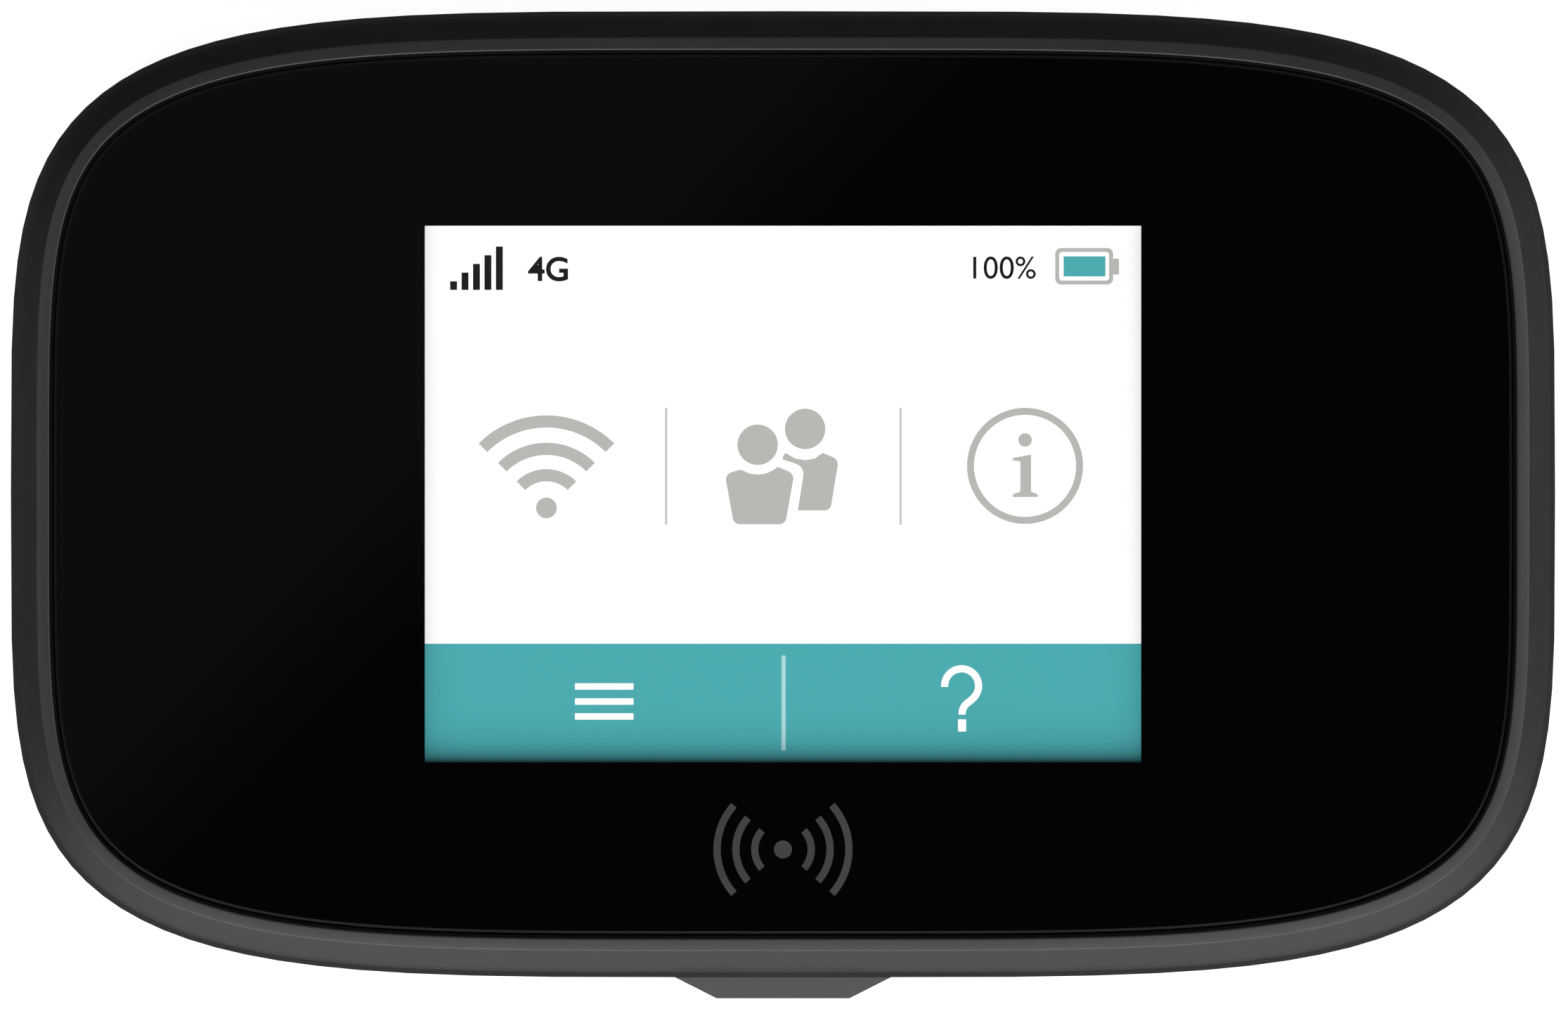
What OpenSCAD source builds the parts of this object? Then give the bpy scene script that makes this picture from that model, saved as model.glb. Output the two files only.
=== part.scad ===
// Mobile hotspot: a pocket 4G router with a colour touchscreen, lying on its back.
// Millimetres, +Z out of the screen, +Y towards the top edge, +X to the right.
// The origin is the middle of the outline, on the plane that the back rests on.

/* [Outline] */
// Half the width of the body at its widest
half_w = 53.4; // [53:0.1:54.4]
// Half the height of the body at its tallest, without the port boss
half_h = 33.4; // [33.2:0.1:34]
// Squareness of the outline, the exponent of its superellipse
squareness = 4.5; // [4.4:0.1:5]
// Number of points round the outline
outline_points = 96; // [72:8:120]

/* [Shells] */
// Thickness of the rear cover
cover_wall = 1.2; // [1:0.1:1.3]
// Thickness of the chassis deck between the battery and the board
deck_t = 1; // [0.8:0.1:1.1]
// Height of the line where the rear cover meets the chassis
cover_split_z = 6.8; // [6.6:0.1:7]
// Height of the line where the chassis meets the front housing
front_split_z = 12.2; // [12:0.1:12.3]
// Gap that shows as a parting line between two shells
parting_gap = 0.12; // [0.08:0.01:0.2]
// How far the front wall leans in from the parting line to the rim
front_lean = 1.85; // [1.7:0.05:2]

/* [Display] */
// Thickness of the cover glass
glass_t = 1.1; // [0.9:0.1:1.3]
// Width of the lit part of the screen
screen_w = 49.4; // [48:0.1:49.6]
// Height of the lit part of the screen
screen_h = 37; // [36:0.1:37.4]
// Thickness of the display module
lcd_t = 2.45; // [2.3:0.05:2.6]

/* [Battery] */
// Length of the battery pack
battery_w = 74; // [70:1:74]
// Height of the battery pack
battery_h = 47; // [44:1:47]
// Thickness of the battery pack
battery_t = 7.8; // [7.2:0.1:7.8]

/* [Board] */
// Thickness of the circuit board
board_t = 0.8; // [0.6:0.1:0.8]
// Room between the deck and the board
board_gap = 1.1; // [1.1:0.1:1.3]
// Height of the shield cans
shield_t = 1.5; // [1.4:0.1:1.7]

/* [Controls] */
// Length of the power key
key_w = 12; // [10:0.5:12]
// Height of the power key
key_h = 2.9; // [2.5:0.1:3]
// Travel of the power key, used for the room in its switch
key_travel = 0.3; // [0.2:0.05:0.4]

/* [Hidden] */
$fn = 32;

// Heights, from the back to the front.
battery_z = cover_wall + 0.2;
deck_z = battery_z + battery_t + 0.1;
board_z = deck_z + deck_t + board_gap;
board_top = board_z + board_t;
shield_top = board_top + shield_t;
plate_z = shield_top + 0.5;
plate_t = 0.4;
lcd_z = plate_z + plate_t + 0.05;
lcd_top = lcd_z + lcd_t;
ledge_top = lcd_top + 0.2;
ledge_t = 0.9;
glass_z = ledge_top + 0.2;
glass_top = glass_z + glass_t;
rim_top = glass_top + 0.2;

// The back rounds in from the widest line by back_round, over the whole depth below it.
back_round = 8;
back_power = 3;
rim_w = 0.9;
glass_gap = 0.2;
rim_inner = -front_lean - rim_w;
glass_grow = rim_inner - glass_gap;
wall_inner = -1.9;
spigot_outer = -2.3;
spigot_t = 0.8;
skirt_outer = -2.9;
skirt_t = 0.9;
skirt_z = 4.6;
board_grow = -4.6;
tongue_t = 0.8;
tongue_h = 3.4;
tongue_in = 2.3;
tongue_root = 1.6;

// Places in plan.
battery_at = [-1, 1];
bay_gap = 0.3;
bay_wall = 1;
bay_z = 3.2;
lcd_w = 60.4;
lcd_h = 42.9;
window_w = lcd_w + 0.8;
window_h = lcd_h + 0.7;
flex_slot = [3, 12];
plate_w = 66;
plate_h = 47;
plate_ears = [for (x = [-35.5, 35.5], y = [-20, 20]) [x, y]];
housing_posts = concat([for (x = [-44, 44], y = [-20.5, 20.5]) [x, y]], [[-20, 27.6], [22, -27.6]]);
board_posts = [for (x = [-33, 33], y = [-25, 25]) [x, y]];
modem_at = [-15, 3];
modem_size = [30, 27];
wifi_at = [15, 9];
wifi_size = [22, 17];
power_at = [15, -12];
power_size = [22, 15];
sim_at = [12, 2];
sim_socket_size = [10.8, 12, 1.35];
sim_card_size = [8.8, 12.3, 0.67];
sim_travel = 10;
reset_at = [-28, -16];
usb_z = board_z - 1.58;
usb_tip = -half_h - 1.45;
usb_mouth = usb_tip + 0.65;
usb_length = 7.3;
port_w = 8.5;
port_h = 2.75;
boss_tip_w = 9.2;
boss_root_w = 14.9;
boss_fall = 0.6;
key_at = [20, 9.4];
key_face = half_h - 0.35;
plunger_y = 28.05;
plunger_l = 1.1;
connector_at = [39.6, 5];
screw_r = 0.7;
screw_head_r = 1.4;

// ---- outline -------------------------------------------------------------------------------

function signed_pow(v, e) = sign(v) * pow(abs(v), e);
function outline_point(t) = [
    half_w * signed_pow(cos(t), 2 / squareness),
    half_h * signed_pow(sin(t), 2 / squareness)
];
function outline_slope(p) = [
    signed_pow(p.x / half_w, squareness - 1) / half_w,
    signed_pow(p.y / half_h, squareness - 1) / half_h
];

// The outline moved outwards by grow along its own normal, or inwards where grow is negative.
function outline(grow) = [
    for (i = [0 : outline_points - 1])
        let (p = outline_point(360 * i / outline_points), s = outline_slope(p))
            p + grow * s / norm(s)
];

// How far the back has rounded in at height z.
function back_inset(z, depth, run) =
    run * (1 - pow(1 - pow(min(1, max(0, (front_split_z - z) / depth)), back_power), 1 / back_power));
function outer_inset(z) = -back_inset(z, front_split_z, back_round);
function inner_inset(z) =
    -1.3 - back_inset(z, front_split_z - cover_wall, back_round - 1.3);

// ---- building blocks -----------------------------------------------------------------------

// A skin through rings of [grow, z]. Closed joins the last ring to the first, like a tyre;
// otherwise the first and last rings are capped.
module loft(rings, closed = false) {
    n = outline_points;
    m = len(rings);
    points = [for (r = rings) for (p = outline(r[0])) [p.x, p.y, r[1]]];
    last = closed ? m - 1 : m - 2;
    sides = [
        for (i = [0 : last]) for (j = [0 : n - 1])
            let (
                low = i * n,
                high = ((i + 1) % m) * n,
                next = (j + 1) % n
            )
            each [[low + j, high + j, high + next], [low + j, high + next, low + next]]
    ];
    caps = closed ? [] : [
        [for (j = [0 : n - 1]) j],
        [for (j = [n - 1 : -1 : 0]) (m - 1) * n + j]
    ];
    polyhedron(points, concat(sides, caps), convexity = 6);
}

// A flat slab of the outline between two heights.
module slab(grow, z0, z1) {
    translate([0, 0, z0])
        linear_extrude(z1 - z0)
            polygon(outline(grow));
}

// A band of the outline between two offsets and two heights.
module band(grow_out, grow_in, z0, z1) {
    translate([0, 0, z0])
        linear_extrude(z1 - z0)
            difference() {
                polygon(outline(grow_out));
                polygon(outline(grow_in));
            }
}

// A box given by its size, the middle of its plan and its lowest height.
module block(size, at, z) {
    translate([at.x - size.x / 2, at.y - size.y / 2, z])
        cube(size);
}

module rounded_plan(w, h, r) {
    square([w - 2 * r, h], center = true);
    square([w, h - 2 * r], center = true);
    for (x = [-1, 1], y = [-1, 1])
        translate([x * (w / 2 - r), y * (h / 2 - r)])
            circle(r);
}

// A box with round corners in plan.
module rounded_block(size, at, z, r) {
    translate([at.x, at.y, z])
        linear_extrude(size.z)
            rounded_plan(size.x, size.y, r);
}

// A slot with round ends, w long and h tall, running along Y from y0 to y1.
module pill_along_y(w, h, x, z, y0, y1) {
    translate([x, y1, z])
        rotate([90, 0, 0])
            linear_extrude(y1 - y0) {
                square([w - h, h], center = true);
                for (side = [-1, 1])
                    translate([side * (w - h) / 2, 0])
                        circle(h / 2);
            }
}

module post(at, r, z0, z1) {
    translate([at.x, at.y, z0])
        cylinder(r = r, h = z1 - z0);
}

// A pan head screw, its head below and its shank pointing up, or the other way when down.
module screw(at, z, head_r, head_t, shank_r, shank_l, up = true) {
    translate([at.x, at.y, z])
        mirror([0, 0, up ? 0 : 1])
            difference() {
                union() {
                    cylinder(r = head_r, h = head_t);
                    cylinder(r = shank_r, h = head_t + shank_l);
                }
                translate([0, 0, -0.1])
                    cylinder(r = head_r * 0.42, h = 0.1 + head_t * 0.6, $fn = 6);
            }
}

// ---- front ---------------------------------------------------------------------------------

module cover_glass() {
    color([0.02, 0.02, 0.025])
        loft([
            [glass_grow, glass_z],
            [glass_grow, glass_top - 0.35],
            [glass_grow - 0.07, glass_top - 0.18],
            [glass_grow - 0.2, glass_top - 0.06],
            [glass_grow - 0.42, glass_top]
        ]);
}

module glass_adhesive() {
    color([0.1, 0.1, 0.1])
        difference() {
            slab(glass_grow - 0.25, ledge_top, glass_z);
            block([window_w + 11, window_h + 7, 1], [0, 0], ledge_top - 0.4);
        }
}

module touch_sensor() {
    color([0.75, 0.78, 0.8, 0.5])
        block([window_w + 10.6, window_h + 6.6, glass_z - ledge_top], [0, 0], ledge_top);
}

module touch_flex() {
    t = 0.15;
    fall_x = window_w / 2 + 1.6;
    color([0.75, 0.45, 0.1]) {
        translate([window_w / 2 + 0.3, -4, ledge_top - t])
            cube([fall_x - window_w / 2 - 0.3 + t, 8, t]);
        translate([fall_x, -4, board_top + 0.9])
            cube([t, 8, ledge_top - board_top - 0.9]);
        translate([fall_x, -4, board_top + 0.9])
            cube([6, 8, t]);
    }
}

module lcd_gasket() {
    color([0.08, 0.08, 0.08])
        difference() {
            block([58.6, 41.4, ledge_top - lcd_top], [0, 0], lcd_top);
            block([screen_w + 1, screen_h + 1, 1], [0, 0], lcd_top - 0.3);
        }
}

module lcd_cell() {
    color([0.85, 0.9, 0.92])
        block([58.8, 41.5, 1], [0, 0], lcd_top - 1);
}

module lcd_backlight() {
    color([0.95, 0.95, 0.95])
        block([59.4, 41.9, lcd_t - 1.35], [0, 0], lcd_z + 0.3);
}

module lcd_frame() {
    wall = 0.25;
    color([0.7, 0.71, 0.73])
        difference() {
            rounded_block([lcd_w, lcd_h, lcd_t - 0.3], [0, 0], lcd_z, 0.5);
            block([lcd_w - 2 * wall, lcd_h - 2 * wall, lcd_t], [0, 0], lcd_z + wall);
        }
}

module display_flex() {
    t = 0.15;
    fall_x = -window_w / 2 - 1.6;
    color([0.75, 0.45, 0.1]) {
        translate([fall_x, -5, lcd_top - 0.25])
            cube([2.05, 10, t]);
        translate([fall_x, -5, board_top + 0.9])
            cube([t, 10, lcd_top - 0.25 - board_top - 0.9 + t]);
        translate([fall_x - 5, -5, board_top + 0.9])
            cube([5 + t, 10, t]);
    }
}

// A tapered ring round the glass, with a ledge for it to sit on and posts for the screws.
module front_housing() {
    low = front_split_z + parting_gap / 2;
    high = rim_top - 0.62;
    lean = [for (s = [0 : 0.25 : 1]) [-0.03 - (front_lean - 0.03) * pow(s, 1.15), low + (high - low) * s]];
    color([0.2, 0.2, 0.21])
        difference() {
            union() {
                loft(concat(lean, [
                    [-front_lean - 0.05, rim_top - 0.42],
                    [-front_lean - 0.17, rim_top - 0.3],
                    [-front_lean - 0.35, rim_top - 0.22],
                    [rim_inner + 0.2, rim_top - 0.02],
                    [rim_inner + 0.09, rim_top],
                    [rim_inner, rim_top - 0.08],
                    [rim_inner, ledge_top],
                    [rim_inner - 0.15, ledge_top - ledge_t],
                    [wall_inner, low]
                ]), closed = true);
                difference() {
                    slab(rim_inner + 0.6, ledge_top - ledge_t, ledge_top);
                    block([window_w, window_h, 2], [0, 0], ledge_top - ledge_t - 0.5);
                    for (side = [-1, 1])
                        block([flex_slot.x * 2, flex_slot.y, 2], [side * window_w / 2, 0],
                              ledge_top - ledge_t - 0.5);
                }
                for (at = housing_posts)
                    post(at, 2.1, deck_z + deck_t + 0.05, ledge_top - ledge_t / 2);
                for (at = plate_ears)
                    post(at, 1.7, plate_z + plate_t, ledge_top - ledge_t / 2);
            }
            for (at = housing_posts)
                post(at, screw_r + 0.03, deck_z, deck_z + deck_t + 5);
            for (at = plate_ears)
                post(at, 0.55, plate_z, plate_z + plate_t + 2);
        }
}

module mid_plate() {
    color([0.72, 0.73, 0.74])
        difference() {
            union() {
                rounded_block([plate_w - 3.4, plate_h, plate_t], [0, 0], plate_z, 1);
                for (at = plate_ears)
                    hull() {
                        post(at, 1.9, plate_z, plate_z + plate_t);
                        post([at.x * 0.82, at.y], 1.9, plate_z, plate_z + plate_t);
                    }
            }
            for (at = plate_ears)
                post(at, 0.6, plate_z - 1, plate_z + 1);
            for (side = [-1, 1])
                block([2.6, 13, 2], [side * (window_w / 2 + 0.9), 0], plate_z - 1);
            for (x = [-22, 0, 22])
                post([x, 20.5], 1, plate_z - 1, plate_z + 1);
        }
}

module plate_screws() {
    color([0.55, 0.56, 0.58])
        for (at = plate_ears)
            screw(at, plate_z - 0.6, 1.15, 0.6, 0.5, plate_t + 1.9);
}

// ---- board ---------------------------------------------------------------------------------

module thermal_pads() {
    gap = 0.02;
    color([0.55, 0.6, 0.75]) {
        block([18, 15, plate_z - shield_top - 2 * gap], modem_at, shield_top + gap);
        block([13, 10, plate_z - shield_top - 2 * gap], wifi_at, shield_top + gap);
        block([13, 8, plate_z - shield_top - 2 * gap], power_at, shield_top + gap);
    }
}

module main_board() {
    color([0.05, 0.25, 0.14])
        difference() {
            union() {
                slab(board_grow, board_z, board_top);
                block([14, 6, board_t], [0, -half_h + 5], board_z);
            }
            for (at = housing_posts)
                post(at, 2.35, board_z - 1, board_top + 1);
            for (at = board_posts)
                post(at, 0.8, board_z - 1, board_top + 1);
        }
}

module board_screws() {
    color([0.55, 0.56, 0.58])
        for (at = board_posts)
            screw(at, board_top + 0.65, 1.3, 0.65, 0.65, 1.8, up = false);
}

module board_passives() {
    color([0.55, 0.45, 0.35]) {
        for (x = [-41.5 : 2.4 : -39])
            for (y = [-12 : 3 : 12])
                block([1.6, 0.8, 0.8], [x, y], board_top);
        for (x = [29.5 : 2.4 : 34])
            for (y = [9 : 3 : 18])
                block([1, 1.9, 0.9], [x, y], board_top);
        for (x = [-26 : 4 : 26])
            block([1.6, 0.8, 0.8], [x, -22.6], board_top);
        for (x = [-24, -16, -8])
            block([3, 3, 1.2], [x, 21], board_top);
    }
}

module flex_connectors() {
    color([0.12, 0.12, 0.12]) {
        rounded_block([3.2, 9.4, 0.85], [window_w / 2 + 5.6, 0], board_top, 0.3);
        rounded_block([3.2, 11.4, 0.85], [-window_w / 2 - 5, 0], board_top, 0.3);
    }
}

// A folded can, open towards the board.
module shield(at, size) {
    wall = 0.2;
    difference() {
        rounded_block([size.x, size.y, shield_t], at, board_top, 0.8);
        block([size.x - 2 * wall, size.y - 2 * wall, shield_t], at, board_top - wall);
        for (x = [-1, 1])
            post([at.x + x * (size.x / 2 - 2.5), at.y], 0.4, shield_top - 1, shield_top + 1);
    }
}

module modem_shield() { color([0.75, 0.75, 0.76]) shield(modem_at, modem_size); }
module wifi_shield() { color([0.75, 0.75, 0.76]) shield(wifi_at, wifi_size); }
module power_shield() { color([0.75, 0.75, 0.76]) shield(power_at, power_size); }

module chip(at, size) {
    color([0.06, 0.06, 0.07])
        rounded_block([size.x, size.y, 0.95], at, board_top, 0.3);
}

module modem_chip() { chip(modem_at - [7.5, 0], [12, 12]); }
module memory_chip() { chip(modem_at + [7.5, 0], [8, 10]); }
module wifi_chip() { chip(wifi_at, [9, 9]); }
module power_chip() { chip(power_at, [7, 7]); }

module antenna_clips() {
    color([0.85, 0.68, 0.3])
        for (side = [-1, 1], y = [-7, 7]) {
            reach = half_w + spigot_outer - spigot_t - 0.4;
            block([2.4, 1.6, 0.25], [side * (reach - 2.6), y], board_top);
            block([0.25, 1.6, 1.1], [side * (reach - 1.5), y], board_top);
            block([1.7, 1.6, 0.25], [side * (reach - 0.65), y], board_top + 0.6);
        }
}

// ---- sockets, card and keys on the back of the board ---------------------------------------

module usb_socket() {
    color([0.78, 0.79, 0.8])
        difference() {
            pill_along_y(8.94, 3.16, 0, usb_z, usb_mouth, usb_mouth + usb_length);
            pill_along_y(8.34, 2.56, 0, usb_z, usb_mouth - 1, usb_mouth + usb_length - 0.4);
        }
}

module usb_tongue() {
    back = usb_mouth + usb_length - 0.42;
    color([0.08, 0.08, 0.08]) {
        translate([-3.35, back - 5.6, usb_z - 0.35])
            cube([6.7, 5.6, 0.7]);
        pill_along_y(8.3, 2.5, 0, usb_z, back - 1.2, back);
    }
}

module usb_contacts() {
    back = usb_mouth + usb_length - 1.62;
    color([0.85, 0.68, 0.3])
        for (i = [0 : 11], side = [-1, 1])
            translate([-2.875 + i * 0.5, back - 4, usb_z + side * 0.36 - (side < 0 ? 0.06 : 0)])
                cube([0.25, 3.9, 0.06]);
}

module sim_socket() {
    size = sim_socket_size;
    color([0.75, 0.75, 0.76])
        difference() {
            block(size, sim_at, board_z - size.z);
            block([size.x - 1.6, size.y, 0.85], [sim_at.x, sim_at.y - 0.5], board_z - size.z + 0.25);
            block([5, 4, 1], [sim_at.x, sim_at.y + 1], board_z - size.z - 0.7);
        }
}

// A 12.3 by 8.8 mm card with its keyed corner cut off.
module sim_card() {
    w = sim_card_size.x;
    l = sim_card_size.y;
    color([0.92, 0.92, 0.9])
        translate([sim_at.x, sim_at.y - 1.3, board_z - sim_socket_size.z + 0.34])
            linear_extrude(sim_card_size.z)
                polygon([
                    [-w / 2, -l / 2], [w / 2, -l / 2], [w / 2, l / 2 - 1.65],
                    [w / 2 - 1.65, l / 2], [-w / 2, l / 2]
                ]);
}

module reset_switch() {
    color([0.7, 0.7, 0.72])
        difference() {
            rounded_block([3.4, 3.4, 0.9], reset_at, board_z - 0.9, 0.3);
            post(reset_at, 0.68, board_z - 1, board_z - 0.3);
        }
}

module reset_plunger() {
    color([0.1, 0.1, 0.1])
        post(reset_at, 0.6, deck_z + 0.5, board_z - 0.6);
}

module power_switch() {
    color([0.7, 0.7, 0.72])
        difference() {
            block([4.6, 2.4, 1.5], [key_at.x, 27.2], board_z - 1.5);
            // Slot for the plunger, with room for its travel
            translate([key_at.x - 0.85, plunger_y - key_travel - 0.25, board_z - 1.2])
                cube([1.7, 1.4, 0.9]);
        }
}

module power_plunger() {
    color([0.1, 0.1, 0.1])
        block([1.5, plunger_l, 0.7], [key_at.x, plunger_y + plunger_l / 2], board_z - 1.1);
}

// The cap, the flange that keeps it in and the rib that reaches the switch.
module power_key() {
    flange_y = half_h + wall_inner - 0.45;
    rib_low = plunger_y + plunger_l + 0.02;
    rib_high = flange_y - 0.3;
    color([0.12, 0.12, 0.13]) {
        pill_along_y(key_w, key_h, key_at.x, key_at.y, flange_y, key_face);
        pill_along_y(key_w + 1.6, key_h + 0.9, key_at.x, key_at.y, flange_y - 0.6, flange_y);
        block([2.2, rib_high - rib_low, 1.1], [key_at.x, (rib_low + rib_high) / 2], board_z - 1.35);
    }
}

// ---- battery -------------------------------------------------------------------------------

module battery_connector() {
    color([0.1, 0.1, 0.1])
        difference() {
            block([4, 13, board_z - 5], connector_at, 5);
            for (i = [-1.5 : 1 : 1.5])
                block([2.4, 1.5, 3.2], connector_at + [-1.5, i * 3], 5.6);
        }
}

// Four sprung leaves, each bent out towards its terminal.
module battery_springs() {
    face = battery_at.x + battery_w / 2;
    color([0.85, 0.68, 0.3])
        for (i = [-1.5 : 1 : 1.5]) {
            y = connector_at.y + i * 3;
            block([0.2, 1.1, 2.8], [connector_at.x - 0.45, y], 5.8);
            translate([0, y + 0.55, 0])
                rotate([90, 0, 0])
                    linear_extrude(1.1)
                        polygon([
                            [connector_at.x - 0.55, 8.6], [face + 0.25, 7.4], [face + 0.12, 7.1],
                            [face + 0.25, 6.8], [connector_at.x - 0.55, 5.8],
                            [connector_at.x - 0.55, 6.1], [face + 0.55, 7.1],
                            [connector_at.x - 0.55, 8.3]
                        ]);
        }
}

module battery_pack() {
    color([0.13, 0.13, 0.14])
        rounded_block([battery_w, battery_h, battery_t - 0.1], battery_at, battery_z + 0.1, 1.5);
}

module battery_label() {
    color([0.8, 0.8, 0.78])
        rounded_block([battery_w - 6, battery_h - 6, 0.1], battery_at, battery_z, 1);
}

module battery_terminals() {
    face = battery_at.x + battery_w / 2;
    color([0.85, 0.68, 0.3])
        for (i = [-1.5 : 1 : 1.5])
            translate([face, connector_at.y + i * 3 - 0.85, 6])
                cube([0.06, 1.7, 2.2]);
}

// ---- chassis and rear cover ----------------------------------------------------------------

// The flat-faced boss for the charging port: a trapezium in plan, whose top falls away from the
// wall to the tip.
module port_boss() {
    low = cover_split_z + 0.15;
    root = -half_h + 1.2;
    intersection() {
        translate([0, 0, low])
            linear_extrude(front_split_z - low)
                polygon([
                    [-boss_root_w / 2 - 2, root], [-boss_root_w / 2, -half_h],
                    [-boss_tip_w / 2, usb_tip], [boss_tip_w / 2, usb_tip],
                    [boss_root_w / 2, -half_h], [boss_root_w / 2 + 2, root]
                ]);
        translate([-10, 0, 0])
            rotate([90, 0, 90])
                linear_extrude(20)
                    polygon([
                        [root, low], [usb_tip + 0.3, low], [usb_tip, low + 0.3],
                        [usb_tip, front_split_z - boss_fall], [-half_h, front_split_z - 0.06],
                        [root, front_split_z - 0.06]
                    ]);
    }
}

module bay_plan(extra) {
    square([battery_w + 2 * extra, battery_h + 2 * extra], center = true);
}

module chassis() {
    wall = [for (z = [cover_split_z : (front_split_z - 0.06 - cover_split_z) / 5 : front_split_z])
        [outer_inset(z), z]];
    top = front_split_z - 0.06;
    color([0.2, 0.2, 0.21])
        difference() {
            union() {
                loft(concat(wall, [[-1.6, top], [-1.6, cover_split_z]]), closed = true);
                slab(-1.2, deck_z, deck_z + deck_t);
                band(spigot_outer, spigot_outer - spigot_t, deck_z, front_split_z + 1.2);
                band(skirt_outer, skirt_outer - skirt_t, skirt_z, deck_z + deck_t / 2);
                translate([battery_at.x, battery_at.y, bay_z])
                    linear_extrude(deck_z + deck_t / 2 - bay_z)
                        bay_plan(bay_gap + bay_wall);
                for (at = board_posts)
                    post(at, 1.6, deck_z + deck_t / 2, board_z);
                for (at = housing_posts)
                    post(at, 2.6, deck_z - 1.2, deck_z + deck_t / 2);
                port_boss();
            }
            // Battery bay
            translate([battery_at.x, battery_at.y, 0])
                linear_extrude(deck_z)
                    bay_plan(bay_gap);
            // Way through for the battery connector
            block([6.2, 13.6, 12], connector_at - [1, 0], 3);
            // Opening over the card socket, long enough to draw the card out
            translate([sim_at.x, sim_at.y + 0.5 - sim_travel / 2, deck_z - 1])
                linear_extrude(deck_t + 2)
                    square([12, 15.5 + sim_travel], center = true);
            // Reset pinhole
            post(reset_at, 0.9, deck_z - 1, deck_z + deck_t + 1);
            // Screw holes
            for (at = housing_posts) {
                post(at, screw_r + 0.1, deck_z - 2, deck_z + deck_t + 1);
                post(at, screw_head_r + 0.15, deck_z - 2, deck_z - 0.2);
            }
            for (at = board_posts)
                post(at, 0.68, deck_z + 0.2, board_z + 1);
            // Port opening and the pocket for the socket behind it
            pill_along_y(port_w, port_h, 0, usb_z, usb_tip - 1, usb_mouth + 1);
            pill_along_y(9.2, 3.4, 0, usb_z, usb_mouth - 0.02, -24.5);
            block([9.2, 8.5, 2], [0, -28.7], usb_z);
            block([16, 5, 4], [0, -half_h + 4.3], deck_z + deck_t);
            // Power key: finger scoop, opening, room for the flange and the switch
            pill_along_y(key_w + 3.4, 4.4, key_at.x, key_at.y, half_h - 0.55, half_h + 1);
            pill_along_y(key_w + 0.3, key_h + 0.3, key_at.x, key_at.y, half_h - 4, half_h);
            block([key_w + 3, 4.4, 6], [key_at.x, half_h - 3.8], key_at.y - 2.3);
            block([6, 5.6, 4], [key_at.x, 28.4], deck_z - 0.5);
            // Fingernail notch for lifting the cover
            translate([30, -half_h - 1, cover_split_z - 1])
                cube([9, 2.2, 1.7]);
        }
}

module housing_screws() {
    color([0.55, 0.56, 0.58])
        for (at = housing_posts)
            screw(at, deck_z - 1, screw_head_r, 0.78, screw_r, 4.6);
}

// A flexible antenna: the part of a thin band inside the spigot that a box takes in.
module antenna(box_size, at) {
    color([0.75, 0.45, 0.1])
        intersection() {
            band(spigot_outer - spigot_t - 0.02, spigot_outer - spigot_t - 0.17,
                 deck_z + deck_t + 0.1, front_split_z + 1.1);
            block(box_size, at, deck_z);
        }
}

module main_antenna() { antenna([20, 34, 10], [-half_w, 0]); }
module diversity_antenna() { antenna([20, 34, 10], [half_w, 0]); }
module wifi_antennas() {
    antenna([14, 20, 10], [-34, half_h]);
    antenna([14, 20, 10], [34, half_h]);
}

// A dished shell with tongues that drop into the gap between the chassis wall and its skirt.
module rear_cover() {
    rim = cover_split_z - parting_gap;
    steps = 9;
    heights = [for (i = [0 : steps]) rim * (1 - cos(90 * i / steps))];
    floor_steps = [for (i = [steps : -1 : 0]) cover_wall + (rim - cover_wall) * (1 - cos(90 * i / steps))];
    color([0.07, 0.07, 0.075])
        union() {
            loft(concat(
                [for (z = heights) [outer_inset(z), z]],
                [for (z = floor_steps) [inner_inset(z), z]]
            ));
            for (x = [-22, -8, 8])
                block([6, tongue_t, tongue_h], [x, tongue_in - half_h], rim - tongue_root);
            for (x = [-22, -8])
                block([6, tongue_t, tongue_h], [x, half_h - tongue_in], rim - tongue_root);
            for (side = [-1, 1], y = [-9, 9])
                block([tongue_t, 6, tongue_h], [side * (half_w - tongue_in), y], rim - tongue_root);
        }
}

cover_glass();
glass_adhesive();
touch_sensor();
touch_flex();
lcd_gasket();
lcd_cell();
lcd_backlight();
lcd_frame();
display_flex();
front_housing();
mid_plate();
plate_screws();
thermal_pads();
main_board();
board_screws();
board_passives();
flex_connectors();
modem_shield();
wifi_shield();
power_shield();
modem_chip();
memory_chip();
wifi_chip();
power_chip();
usb_socket();
usb_tongue();
usb_contacts();
sim_socket();
sim_card();
reset_switch();
reset_plunger();
power_switch();
power_plunger();
power_key();
battery_connector();
battery_springs();
battery_pack();
battery_label();
battery_terminals();
chassis();
housing_screws();
main_antenna();
diversity_antenna();
wifi_antennas();
antenna_clips();
rear_cover();
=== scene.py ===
import math
import bpy
import numpy as np
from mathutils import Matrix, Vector
from mathutils.geometry import tessellate_polygon


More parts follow.
